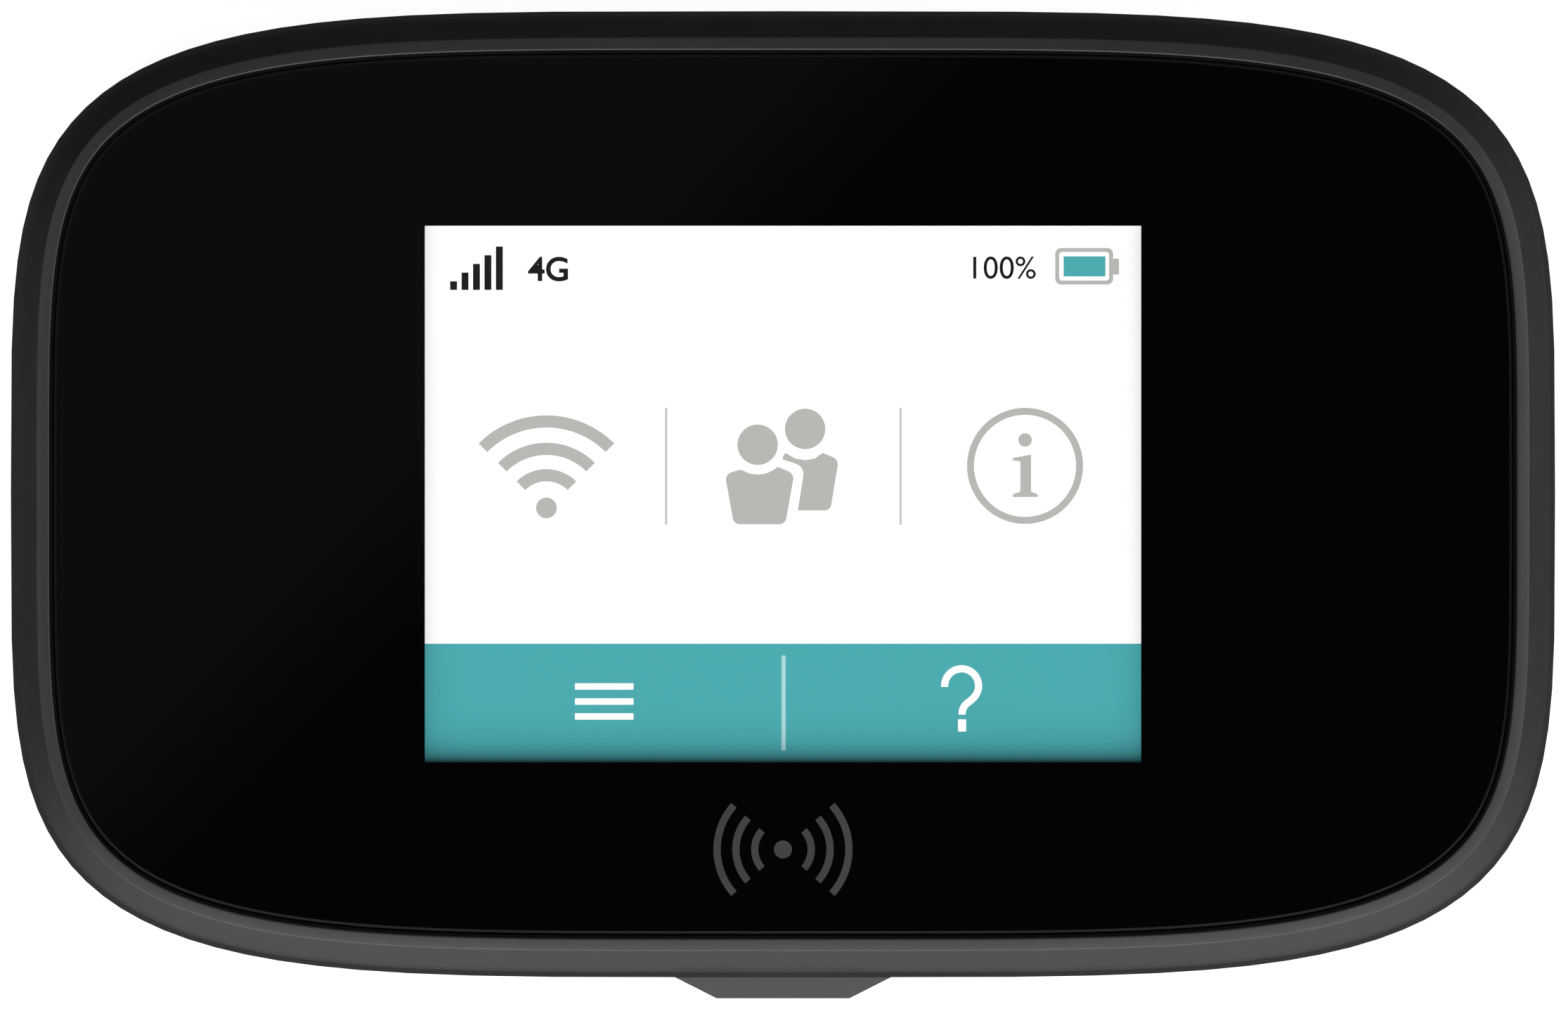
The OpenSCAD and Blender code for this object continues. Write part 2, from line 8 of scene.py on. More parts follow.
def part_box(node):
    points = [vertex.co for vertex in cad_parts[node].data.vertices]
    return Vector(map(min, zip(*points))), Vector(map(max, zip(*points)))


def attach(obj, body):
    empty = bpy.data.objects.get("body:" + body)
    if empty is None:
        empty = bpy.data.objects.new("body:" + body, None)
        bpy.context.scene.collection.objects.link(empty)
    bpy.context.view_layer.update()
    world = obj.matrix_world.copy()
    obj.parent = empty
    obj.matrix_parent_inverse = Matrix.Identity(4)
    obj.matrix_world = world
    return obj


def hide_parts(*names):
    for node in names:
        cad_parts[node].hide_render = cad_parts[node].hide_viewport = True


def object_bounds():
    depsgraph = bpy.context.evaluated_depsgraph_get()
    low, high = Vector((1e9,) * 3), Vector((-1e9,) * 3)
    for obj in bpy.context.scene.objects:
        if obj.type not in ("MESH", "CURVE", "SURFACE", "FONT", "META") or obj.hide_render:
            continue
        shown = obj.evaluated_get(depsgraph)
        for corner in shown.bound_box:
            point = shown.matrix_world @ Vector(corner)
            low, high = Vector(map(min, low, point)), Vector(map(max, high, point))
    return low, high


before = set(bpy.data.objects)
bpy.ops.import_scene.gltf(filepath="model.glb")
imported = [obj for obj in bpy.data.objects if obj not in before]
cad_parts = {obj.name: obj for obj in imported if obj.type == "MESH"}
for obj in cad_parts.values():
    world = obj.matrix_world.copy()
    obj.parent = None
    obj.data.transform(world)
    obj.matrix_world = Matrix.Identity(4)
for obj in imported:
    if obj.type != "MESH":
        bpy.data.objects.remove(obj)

cad_low, cad_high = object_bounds()
mm = 0.001

# ---- studio --------------------------------------------------------------------------------
# A pocket hotspot lies on its back on a pale floor. The camera looks straight down at the
# screen through a very long lens, so that the case shows almost no perspective.

view_width = 108.5 * mm
widest_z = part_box("front_housing")[0].z
lens_mm = 1000
sensor_mm = 36

camera_data = bpy.data.cameras.new("camera")
camera_data.lens = lens_mm
camera_data.sensor_width = sensor_mm
camera_data.clip_start = 0.1
camera_data.clip_end = 20
camera = bpy.data.objects.new("camera", camera_data)
camera.location = (0.07 * mm, -0.705 * mm, widest_z + view_width * lens_mm / sensor_mm)
bpy.context.collection.objects.link(camera)
bpy.context.scene.camera = camera
bpy.context.scene.view_settings.view_transform = "Standard"

# The glass mirrors only the surroundings: what is put in this collection gets no light from
# the softboxes, so that none of them shows as a white patch over the screen.
kept_dark = bpy.data.collections.new("kept_dark")


def softbox(name, place, size, power):
    """A softbox of that width and height in metres, aimed at the middle of the case."""
    data = bpy.data.lights.new(name, "AREA")
    data.shape = "RECTANGLE"
    data.size, data.size_y = size
    data.energy = power
    lamp = bpy.data.objects.new(name, data)
    lamp.location = place
    aim = Vector((0, 0, widest_z)) - Vector(place)
    lamp.rotation_mode = "QUATERNION"
    lamp.rotation_quaternion = aim.to_track_quat("-Z", "Y")
    lamp.light_linking.receiver_collection = kept_dark
    bpy.context.collection.objects.link(lamp)


for lamp_name, lamp_place, lamp_size, lamp_power in (
    ("key_below_bottom_edge", (0.05, -1.1, 0.55), (2.2, 0.9), 16),
    ("fill_right", (1.2, 0.0, 0.7), (1.4, 0.9), 6.6),
    ("fill_left", (-1.2, 0.1, 0.8), (1.4, 0.9), 2),
):
    softbox(lamp_name, lamp_place, lamp_size, lamp_power)


def node_tree(owner):
    """An empty node tree on a material or world."""
    owner.use_nodes = True
    owner.node_tree.nodes.clear()
    return owner.node_tree


def node(tree, kind, **sockets):
    """A new node with its sockets set: by name, and a socket's value links, a plain value is set."""
    made = tree.nodes.new(kind)
    for name, value in sockets.items():
        put(tree, made, name.replace("_", " "), value)
    return made


def put(tree, made, name, value):
    """Links value into the named socket if it is a socket, and sets it otherwise."""
    socket = made.inputs[int(name)] if name.isdigit() else made.inputs[name]
    if isinstance(value, bpy.types.NodeSocket):
        tree.links.new(value, socket)
    else:
        socket.default_value = value


def math_of(tree, operation, *values):
    """The result of a Math node."""
    made = tree.nodes.new("ShaderNodeMath")
    made.operation = operation
    for i, value in enumerate(values):
        put(tree, made, str(i), value)
    return made.outputs[0]


def mapped(tree, value, from_low, from_high, to_low, to_high):
    """A value carried from one range to another, held at its ends."""
    made = node(tree, "ShaderNodeMapRange", Value=value)
    made.inputs["From Min"].default_value = from_low
    made.inputs["From Max"].default_value = from_high
    made.inputs["To Min"].default_value = to_low
    made.inputs["To Max"].default_value = to_high
    return made.outputs[0]


# The surroundings are brightest towards the bottom edge, glow softly above the horizon and are
# dark straight overhead, so that the glass stays black but for a faint sheen at its upper left.
sky_glow, sky_front, sky_right, sky_overhead, sky_sheen = 0.3, 0.39, 0.04, 0.03, 0.07
sky = bpy.data.worlds.new("studio")
tree = node_tree(sky)
direction = node(tree, "ShaderNodeTexCoord").outputs["Generated"]
toward = node(tree, "ShaderNodeSeparateXYZ", Vector=direction).outputs
front = math_of(tree, "MULTIPLY", mapped(tree, toward["Y"], -1, 0, 1, 0), sky_front)
right = math_of(tree, "MULTIPLY", mapped(tree, toward["X"], 0, 1, 0, 1), sky_right)
glow_band = math_of(tree, "MULTIPLY", mapped(tree, toward["Z"], 0, 0.15, 0, sky_glow),
                    mapped(tree, toward["Z"], 0.35, 0.75, 1, 0))
around = math_of(tree, "ADD", math_of(tree, "ADD", front, right), glow_band)
overhead_from, overhead_to = 0.7, 0.95
around = math_of(tree, "MULTIPLY", around,
                 mapped(tree, toward["Z"], overhead_from, overhead_to, 1, 0))
diagonal = math_of(tree, "SUBTRACT", toward["Y"], toward["X"])
sheen = math_of(tree, "MULTIPLY", mapped(tree, diagonal, 0.0055, 0.0105, 0, 1), sky_sheen)
overhead = math_of(tree, "MULTIPLY", math_of(tree, "ADD", sheen, sky_overhead),
                   mapped(tree, toward["Z"], overhead_from, overhead_to, 0, 1))
backdrop = node(tree, "ShaderNodeBackground", Color=(1, 1, 1, 1),
                Strength=math_of(tree, "ADD", around, overhead))
node(tree, "ShaderNodeOutputWorld", Surface=backdrop.outputs[0])
bpy.context.scene.world = sky

# The floor is a lit white sweep. It takes shadows but throws no light back on the case: the
# lower half of the surroundings does that.
floor_mesh = bpy.data.meshes.new("floor")
floor_mesh.from_pydata([(-6, -6, 0), (6, -6, 0), (6, 6, 0), (-6, 6, 0)], [], [(0, 1, 2, 3)])
floor = bpy.data.objects.new("floor", floor_mesh)
bpy.context.collection.objects.link(floor)
floor.visible_diffuse = False
floor.visible_glossy = False
floor.visible_shadow = False
paper = bpy.data.materials.new("floor_paper")
tree = node_tree(paper)
matt = node(tree, "ShaderNodeBsdfPrincipled", Base_Color=(0.85, 0.85, 0.85, 1), Roughness=0.9)
matt.inputs["Emission Color"].default_value = (1, 1, 1, 1)
matt.inputs["Emission Strength"].default_value = 0.83
node(tree, "ShaderNodeOutputMaterial", Surface=matt.outputs[0])
floor_mesh.materials.append(paper)

# ---- front housing -------------------------------------------------------------------------
# The ring round the glass is a satin dark grey moulding. Its wall leans in from the parting
# line to a narrow rim, and a ledge inside it carries the glass and the screw posts.

half_w = cad_high.x / mm
half_h = cad_high.y / mm
squareness = 4.5
outline_count = 480
glass_low, glass_high = (corner.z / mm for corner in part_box("cover_glass"))
ring_low, rim_top = (corner.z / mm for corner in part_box("front_housing"))
ledge_top = glass_low - 0.2
ledge_thick = 0.9
rim_inner = -2.75
lean = 1.85


def case_outline(grow):
    """The case's superellipse in mm, each point moved out by grow along the curve's normal."""
    turn = np.linspace(0, 2 * np.pi, outline_count, endpoint=False)
    c, s = np.cos(turn), np.sin(turn)
    radius = (np.abs(c / half_w) ** squareness + np.abs(s / half_h) ** squareness) ** (-1 / squareness)
    x, y = radius * c, radius * s
    nx = np.sign(x) * np.abs(x / half_w) ** (squareness - 1) / half_w
    ny = np.sign(y) * np.abs(y / half_h) ** (squareness - 1) / half_h
    size = np.hypot(nx, ny)
    return np.stack([x + grow * nx / size, y + grow * ny / size], axis=1)


def rounded(corners, steps=6):
    """A closed outline through (x, y, radius) corners, each replaced by a tangent arc."""
    corners = [np.array(c, float) for c in corners]
    points = []
    for before, here, after in zip(corners[-1:] + corners[:-1], corners, corners[1:] + corners[:1]):
        a, b = before[:2] - here[:2], after[:2] - here[:2]
        a, b = a / np.linalg.norm(a), b / np.linalg.norm(b)
        half = math.acos(np.clip(a @ b, -1, 1)) / 2
        if here[2] <= 0 or half > math.radians(89):
            points.append(here[:2])
            continue
        middle = here[:2] + (a + b) / np.linalg.norm(a + b) * here[2] / math.sin(half)
        start, end = (here[:2] + side * here[2] / math.tan(half) - middle for side in (a, b))
        sweep = math.pi - 2 * half
        for t in np.linspace(0, 1, steps + 1):
            points.append(middle + (math.sin((1 - t) * sweep) * start + math.sin(t * sweep) * end)
                          / math.sin(sweep))
    return np.array(points)


def loft(loops, closed=False):
    """Quads between successive loops of equal length; closed joins the last to the first,
    otherwise the first and last loops are capped."""
    m, n = len(loops), len(loops[0])
    j = np.arange(n)
    rows = np.arange(m if closed else m - 1)
    low = (rows[:, None] * n + j).ravel()
    low_next = (rows[:, None] * n + (j + 1) % n).ravel()
    up = (((rows + 1) % m)[:, None] * n + j).ravel()
    up_next = (((rows + 1) % m)[:, None] * n + (j + 1) % n).ravel()
    faces = np.stack([low, low_next, up_next, up], axis=1).tolist()
    if not closed:
        faces += [j[::-1].tolist(), ((m - 1) * n + j).tolist()]
    return np.concatenate(loops), faces


def case_loft(rings, closed=False):
    """The case's outline carried through (grow, height) rings."""
    loops = [np.column_stack([case_outline(g), np.full(outline_count, z)]) for g, z in rings]
    return loft(loops, closed)


def loop_area(loop):
    """Twice a loop's area, above 0 if it runs anticlockwise: the sum of its edges' cross products."""
    ahead = np.roll(loop, -1, axis=0)
    return np.sum(loop[:, 0] * ahead[:, 1] - ahead[:, 0] * loop[:, 1])


def plate(loops, low, high):
    """A flat piece between two heights. The first loop is its outline and the rest are holes."""
    loops = [np.asarray(loop, float) for loop in loops]
    loops = [loop if (loop_area(loop) > 0) == (i == 0) else loop[::-1] for i, loop in enumerate(loops)]
    flat = np.concatenate(loops)
    n = len(flat)
    top = np.array(tessellate_polygon([[Vector((*p, 0)) for p in loop] for loop in loops]))
    first, second, third = flat[top[:, 0]], flat[top[:, 1]], flat[top[:, 2]]
    one, other = (second - first).T, (third - first).T
    clockwise = one[0] * other[1] <= one[1] * other[0]
    top[clockwise] = top[clockwise, ::-1]
    faces = (top + n).tolist() + top[:, ::-1].tolist()
    start = 0
    for loop in loops:
        k = np.arange(len(loop))
        a, b = start + k, start + (k + 1) % len(loop)
        faces += np.stack([a, b, b + n, a + n], axis=1).tolist()
        start += len(loop)
    points = np.concatenate([np.column_stack([flat, np.full(n, z)]) for z in (low, high)])
    return points, faces


def circle(x, y, r, count=48):
    """A circle as a loop."""
    turn = np.linspace(0, 2 * np.pi, count, endpoint=False)
    return np.stack([x + r * np.cos(turn), y + r * np.sin(turn)], axis=1)


def turned_out(points, faces):
    """A closed part's faces, all turned over if its signed volume is negative: the sum of the
    tetrahedra from the origin to each face's fan of triangles."""
    volume = 0
    for count in {len(face) for face in faces}:
        corners = points[np.array([face for face in faces if len(face) == count])]
        for i in range(1, count - 1):
            volume += np.sum(corners[:, 0] * np.cross(corners[:, i], corners[:, i + 1]))
    return [face[::-1] for face in faces] if volume < 0 else faces


def piece(name, parts, finish, body, stands_for=(), sharp=35, flat_ends=True):
    """Joins (points in mm, faces) parts into one object that rides on a body. Edges sharper
    than that angle stay crisp and the rest are smooth, but flat ends are left flat."""
    points, faces, count = [], [], 0
    for part_points, part_faces in parts:
        points.append(part_points)
        faces += [[i + count for i in face] for face in turned_out(part_points, part_faces)]
        count += len(part_points)
    mesh = bpy.data.meshes.new(name)
    mesh.from_pydata((np.concatenate(points) * mm).tolist(), [], faces)
    mesh.set_sharp_from_angle(angle=math.radians(sharp))
    smooth = np.array([len(face) == 4 or not flat_ends for face in faces])
    mesh.polygons.foreach_set("use_smooth", smooth)
    mesh.materials.append(finish)
    made = bpy.data.objects.new(name, mesh)
    bpy.context.collection.objects.link(made)
    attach(made, body)
    if stands_for:
        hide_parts(*stands_for)
    return made


def object_noise(tree, size, detail=2.0, stretch=(1, 1, 1)):
    """Noise whose cells are about that many mm across, read from the piece's own place."""
    place = node(tree, "ShaderNodeTexCoord").outputs["Object"]
    turned = node(tree, "ShaderNodeMapping", Vector=place, Scale=stretch)
    return node(tree, "ShaderNodeTexNoise", Vector=turned.outputs[0], Scale=1 / (size * mm),
                Detail=detail).outputs[0]


def spread(tree, value, low, high):
    """Noise, which mostly lies between 0.3 and 0.7, mapped onto low to high."""
    return mapped(tree, value, 0.3, 0.7, low, high)


def two_tone(tree, factor, first, second):
    """A colour between two, by a factor from 0 to 1."""
    blend = tree.nodes.new("ShaderNodeMix")
    blend.data_type = "RGBA"
    tree.links.new(factor, blend.inputs[0])
    ends = [socket for socket in blend.inputs if socket.type == "RGBA"]
    for end, colour in zip(ends, (first, second)):
        if isinstance(colour, bpy.types.NodeSocket):
            tree.links.new(colour, end)
        else:
            end.default_value = (*colour, 1)
    return next(socket for socket in blend.outputs if socket.type == "RGBA")


def finish_of(name, colour, rough, grain, depth, mottle=0.05, stretch=(1, 1, 1), print_of=None,
              **shader):
    """A surface with a fine grain of that size and depth in mm, a faint colour mottle and
    patches of slightly different roughness. rough is (least, most). print_of takes the node
    tree and the mottled colour, and gives back a patterned colour."""
    material = bpy.data.materials.new(name)
    tree = node_tree(material)
    surface = node(tree, "ShaderNodeBsdfPrincipled")
    darker, lighter = ([min(1, c * (1 + sign * mottle)) for c in colour] for sign in (-1, 1))
    base = two_tone(tree, spread(tree, object_noise(tree, 9), 0, 1), darker, lighter)
    tree.links.new(print_of(tree, base) if print_of else base, surface.inputs["Base Color"])
    tree.links.new(spread(tree, object_noise(tree, 2.5), *rough), surface.inputs["Roughness"])
    bump = node(tree, "ShaderNodeBump", Height=object_noise(tree, grain, 3, stretch), Distance=depth * mm)
    tree.links.new(bump.outputs[0], surface.inputs["Normal"])
    for socket, value in shader.items():
        surface.inputs[socket.replace("_", " ")].default_value = value
    node(tree, "ShaderNodeOutputMaterial", Surface=surface.outputs[0])
    return material


satin_shell = finish_of("satin_dark_shell", (0.052, 0.052, 0.053), (0.38, 0.46), 0.16, 0.006, 0.03)

wall_curve = [(-0.03 - (lean - 0.03) * s ** 1.15, ring_low + (rim_top - 0.32 - ring_low) * s, 0)
              for s in (0.25, 0.5, 0.75)]
ring_profile = rounded([
    (-0.03, ring_low, 0.1), *wall_curve,
    (-lean - 0.03, rim_top - 0.28, 0.2), (rim_inner, rim_top + 0.01, 0.1),
    (rim_inner, ledge_top, 0), (rim_inner - 0.15, ledge_top - ledge_thick, 0), (-1.9, ring_low, 0.05),
], 8)

screen_half = (24.72, 18.52)
lcd_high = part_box("lcd_frame")[1]
window = (lcd_high.x / mm + 0.4, lcd_high.y / mm + 0.35)
flex_reach, flex_half = 3, 6
ledge_window = [
    (window[0], -window[1]), (window[0], -flex_half), (window[0] + flex_reach, -flex_half),
    (window[0] + flex_reach, flex_half), (window[0], flex_half), (window[0], window[1]),
    (-window[0], window[1]), (-window[0], flex_half), (-window[0] - flex_reach, flex_half),
    (-window[0] - flex_reach, -flex_half), (-window[0], -flex_half), (-window[0], -window[1]),
]
housing_posts = [(x, y) for x in (-44, 44) for y in (-20.5, 20.5)] + [(-20, 27.6), (22, -27.6)]
plate_posts = [(x, y) for x in (-35.5, 35.5) for y in (-20, 20)]
deck_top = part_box("main_board")[0].z / mm - 1.1
plate_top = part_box("mid_plate")[1].z / mm


def post(at, outer, inner, low, high):
    """A hollow round post."""
    return plate([circle(*at, outer), circle(*at, inner)], low, high)


piece("front_housing_shell", [
    case_loft(ring_profile, closed=True),
    plate([case_outline(rim_inner + 0.5), ledge_window], ledge_top - ledge_thick, ledge_top),
    *[post(at, 2.1, 0.73, deck_top + 0.05, ledge_top - ledge_thick / 2) for at in housing_posts],
    *[post(at, 1.7, 0.55, plate_top, ledge_top - ledge_thick / 2) for at in plate_posts],
], satin_shell, "housing", ["front_housing"])

# ---- cover glass ---------------------------------------------------------------------------
# One sheet of polished glass with a narrow bevel round its face. Its back is printed black but for
# the window over the display, and a small grey pictogram is printed below the window.

glass_grow = rim_inner - 0.2
glass_edge = [(glass_grow, glass_high - 0.32), (glass_grow - 0.05, glass_high - 0.2),
              (glass_grow - 0.12, glass_high - 0.11), (glass_grow - 0.32, glass_high)]
clear_glass = bpy.data.materials.new("cover_glass")
tree = node_tree(clear_glass)
tint = two_tone(tree, spread(tree, object_noise(tree, 16, 0), 0, 1), (0.985, 1, 0.99), (1, 1, 1))
polish = node(tree, "ShaderNodeBsdfPrincipled", Base_Color=tint, Roughness=0, IOR=1.5)
polish.inputs["Transmission Weight"].default_value = 1
node(tree, "ShaderNodeOutputMaterial", Surface=polish.outputs[0])
bond_line = 0.02
glass_back = glass_low + bond_line
sheet = piece("cover_glass_sheet",
              [case_loft([(glass_grow - 0.1, glass_back), (glass_grow, glass_back + 0.1), *glass_edge])],
              clear_glass, "housing", ["cover_glass"], 20)
kept_dark.objects.link(sheet)
kept_dark.collection_objects[0].light_linking.link_state = "EXCLUDE"

black_ink = finish_of("black_border_ink", (0.0012, 0.0012, 0.0013), (0.3, 0.4), 5, 0.0005,
                      Specular_IOR_Level=0)
ink_z = glass_back + 0.02
window_loop = [(-screen_half[0], -screen_half[1]), (screen_half[0], -screen_half[1]),
               (screen_half[0], screen_half[1]), (-screen_half[0], screen_half[1])]
piece("border_print", [plate([case_outline(glass_grow - 0.3), window_loop], ink_z, ink_z + 0.03)],
      black_ink, "housing")


def arc_band(x, y, inner, outer, start, end, steps=24):
    """Part of a ring between two angles in degrees."""
    turn = np.radians(np.linspace(start, end, steps))
    ray = np.stack([np.cos(turn), np.sin(turn)], axis=1)
    return np.concatenate([(x, y) + outer * ray, ((x, y) + inner * ray)[::-1]])


grey_ink = finish_of("grey_pictogram_ink", (0.075, 0.075, 0.075), (0.35, 0.45), 0.2, 0.001)
mark = (0, -24.5)
print_top = (glass_high + 0.002, glass_high + 0.012)
piece("pictogram_print", [
    plate([circle(*mark, 0.62)], *print_top),
    *[plate([arc_band(*mark, r, r + 0.5, side - 42, side + 42)], *print_top)
      for side in (0, 180) for r in (1.7, 3.0, 4.3)],
], grey_ink, "housing")

# ---- touch film ----------------------------------------------------------------------------
# A clear film behind the glass senses fingers. It is bonded over the display, so its faces
# hardly reflect, and its border is under the black print.

clear_film = bpy.data.materials.new("clear_film")
tree = node_tree(clear_film)
tint = two_tone(tree, spread(tree, object_noise(tree, 12, 0), 0, 1), (1, 1, 0.99), (1, 1, 1))
film = node(tree, "ShaderNodeBsdfPrincipled", Base_Color=tint, Roughness=0, IOR=1.02)
film.inputs["Transmission Weight"].default_value = 1
node(tree, "ShaderNodeOutputMaterial", Surface=film.outputs[0])
film_low, film_high = (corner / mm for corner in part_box("touch_sensor"))


def box_loop(x0, y0, x1, y1, r=0.0):
    """A rectangle with round corners as a loop."""
    return rounded([(x0, y0, r), (x1, y0, r), (x1, y1, r), (x0, y1, r)])


piece("touch_film", [plate([box_loop(film_low.x, film_low.y, film_high.x, film_high.y, 1)],
                           film_low.z + bond_line, film_high.z - bond_line)],
      clear_film, "housing", ["touch_sensor"])

# ---- picture on the display ----------------------------------------------------------------
# The lit picture lies on the display cell, under the touch film. It is a white home screen with
# a teal bar: plain symbols for signal, battery, wireless, users, information, menu and help.

cell_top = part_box("lcd_cell")[1].z / mm
layer = 0.02
teal = (0.064, 0.375, 0.408)
symbol_grey = (0.445, 0.44, 0.427)
glow = 1.16


def lit(name, colour):
    """A lit colour with painted shade towards the sides and, more, the lower edge, as if the black
    border shaded the picture: each edge takes off its share times the falling exponential of the distance
    to it."""
    material = bpy.data.materials.new(name)
    tree = node_tree(material)
    place = node(tree, "ShaderNodeTexCoord").outputs["Object"]
    axes = node(tree, "ShaderNodeSeparateXYZ", Vector=place)

    side = math_of(tree, "SUBTRACT", screen_half[0] * mm, math_of(tree, "ABSOLUTE", axes.outputs["X"]))
    foot = math_of(tree, "ADD", screen_half[1] * mm, axes.outputs["Y"])
    glow_with_painted_shade = glow
    # painted shade: the glow is dimmed near the sides and more near the lower edge, standing in for the
    # border's shade
    for distance, share, reach in ((side, 0.25, 0.8), (foot, 1.0, 0.9)):
        fall = math_of(tree, "EXPONENT", math_of(tree, "MULTIPLY", distance, -1 / (reach * mm)))
        glow_left_after_painted_shade = math_of(tree, "SUBTRACT", 1.0, math_of(tree, "MULTIPLY", fall, share))
        glow_with_painted_shade = math_of(tree, "MULTIPLY", glow_with_painted_shade, glow_left_after_painted_shade)
    shade = tree.nodes.new("ShaderNodeVectorMath")
    shade.operation = "SCALE"
    shade.inputs[0].default_value = colour
    tree.links.new(glow_with_painted_shade, shade.inputs["Scale"])
    surface = node(tree, "ShaderNodeBsdfPrincipled", Base_Color=(0.02, 0.02, 0.02, 1), Roughness=0.5)
    surface.inputs["Emission Strength"].default_value = 1
    tree.links.new(shade.outputs[0], surface.inputs["Emission Color"])
    node(tree, "ShaderNodeOutputMaterial", Surface=surface.outputs[0])
    return material


def drawn(name, loops_list, finish, height=2):
    """Flat symbols on the display, each a list of loops: an outline and its holes."""
    low = cell_top + 0.01 + height * layer
    return piece(name, [plate(loops, low, low + layer * 0.6) for loops in loops_list], finish, "housing")


lit_white = lit("lit_white", (1, 1, 1))
lit_teal = lit("lit_teal", teal)
lit_grey = lit("lit_grey", symbol_grey)
lit_rule = lit("lit_rule_grey", (0.55, 0.55, 0.54))
lit_black = lit("lit_black", (0.002, 0.002, 0.002))
lit_pale_teal = lit("lit_pale_teal", (0.38, 0.66, 0.68))

bar_top = -10.31
margin = 0.25
lit_half = (screen_half[0] + margin, screen_half[1] + margin)
drawn("home_panel", [[box_loop(-lit_half[0], bar_top, lit_half[0], lit_half[1])]], lit_white, 0)
drawn("menu_bar", [[box_loop(-lit_half[0], -lit_half[1], lit_half[0], bar_top)]], lit_teal, 0)
drawn("signal_bars", [[box_loop(-22.98 + 0.79 * k, 14.1, -22.5 + 0.79 * k, 14.1 + 0.6 * (k + 1))]
                      for k in range(5)], lit_black)
drawn("battery_outline", [
    [box_loop(18.79, 14.47, 22.79, 17.0, 0.4), box_loop(19.07, 14.75, 22.51, 16.72, 0.2)],
    [box_loop(22.79, 15.16, 23.2, 16.27, 0.1)],
], lit_grey)
drawn("battery_level", [[box_loop(19.37, 15.03, 22.26, 16.42)]], lit_teal)
drawn("column_rules", [[box_loop(x - 0.09, -2.11, x + 0.09, 5.97)] for x in (-8.07, 8.12)], lit_rule)

wifi = (-16.33, -1.18)
drawn("wireless_symbol", [[circle(wifi[0], wifi[1] + 0.24, 0.72)]]
      + [[arc_band(*wifi, r, r + 0.85, 45, 135, 36)] for r in (2.07, 3.89, 5.78)], lit_grey)


def shoulders(x, top, bottom, wide, narrow, head, neck):
    """A bust under a head: two sloping sides with round corners and a hollow round the head.
    head is its centre, and neck the radius of the hollow."""
    reach = 1.25
    steps_out = [x + side * reach - head[0] for side in (-1, 1)]
    angles = [math.atan2(-math.sqrt(neck ** 2 - step ** 2), step) for step in steps_out]
    hollow = [(head[0] + neck * math.cos(t), head[1] + neck * math.sin(t), 0)
              for t in np.linspace(angles[1], angles[0], 14)]
    return rounded([(x - wide, top, 0.55), (x - narrow, bottom, 0.48), (x + narrow, bottom, 0.48),
                    (x + wide, top, 0.55), *hollow])


front_head, back_head = (-1.75, 3.42), (1.53, 4.51)
front_bust = shoulders(-1.62, 1.42, -2.07, 2.4, 1.78, front_head, 2.05)
back_bust = rounded([
    (1.02, -1.12, 0), (3.27, -1.12, 0.48), (3.85, 2.4, 0.55), (2.74, 2.86, 0),
    (2.2, 2.48, 0), (1.55, 2.36, 0), (0.85, 2.47, 0), (0.15, 2.87, 0), (-0.08, 2.42, 0.1),
    (1.5, 1.9, 0.75),
])
drawn("users_symbol", [[circle(*front_head, 1.4)], [circle(*back_head, 1.4)],
                       [front_bust], [back_bust]], lit_grey)

info = np.array((16.71, 1.96))
letter = rounded([(0.42, 0.78, 0), (0.42, -1.78, 0.08), (0.88, -1.95, 0.08), (0.88, -2.15, 0),
                  (-0.85, -2.15, 0), (-0.85, -1.95, 0.08), (-0.33, -1.78, 0.08), (-0.33, 0.33, 0.12),
                  (-0.85, 0.36, 0), (-0.85, 0.55, 0)])
drawn("information_symbol", [[circle(*info, 4.01, 96), circle(*info, 3.52, 96)],
                             [circle(info[0], info[1] + 1.79, 0.47)], [letter + info]], lit_grey)

drawn("menu_symbol", [[box_loop(-14.36, y, -10.32, y + 0.44, 0.03)]
                      for y in (-15.55, -14.52, -13.48)], lit_white)
drawn("bar_rule", [[box_loop(-0.1, -17.68, 0.18, -11.12)]], lit_pale_teal)


def stroke(path, width):
    """A line of that width along a path, with square ends."""
    ahead = np.gradient(path, axis=0)
    ahead /= np.linalg.norm(ahead, axis=1)[:, None]
    across = np.stack([-ahead[:, 1], ahead[:, 0]], axis=1) * width / 2
    return np.concatenate([path + across, (path - across)[::-1]])


query = np.array((12.33, -13.21))
hook = np.radians(np.linspace(184, -38, 40))
hook_path = query + 1.17 * np.stack([np.cos(hook), np.sin(hook)], axis=1)
t = np.linspace(0, 1, 24)[1:, None]
leave = np.array((math.sin(hook[-1]), -math.cos(hook[-1])))
tail_start, tail_end = hook_path[-1], query + (0.03, -1.99)
tail = ((1 - t) ** 3 * tail_start + 3 * (1 - t) ** 2 * t * (tail_start + 0.62 * leave)
        + 3 * (1 - t) * t ** 2 * (tail_end + (0, 0.75)) + t ** 3 * tail_end)
drawn("help_symbol", [[stroke(np.concatenate([hook_path, tail]), 0.49)],
                      [box_loop(12.08, -16.37, 12.64, -15.53)]], lit_white)


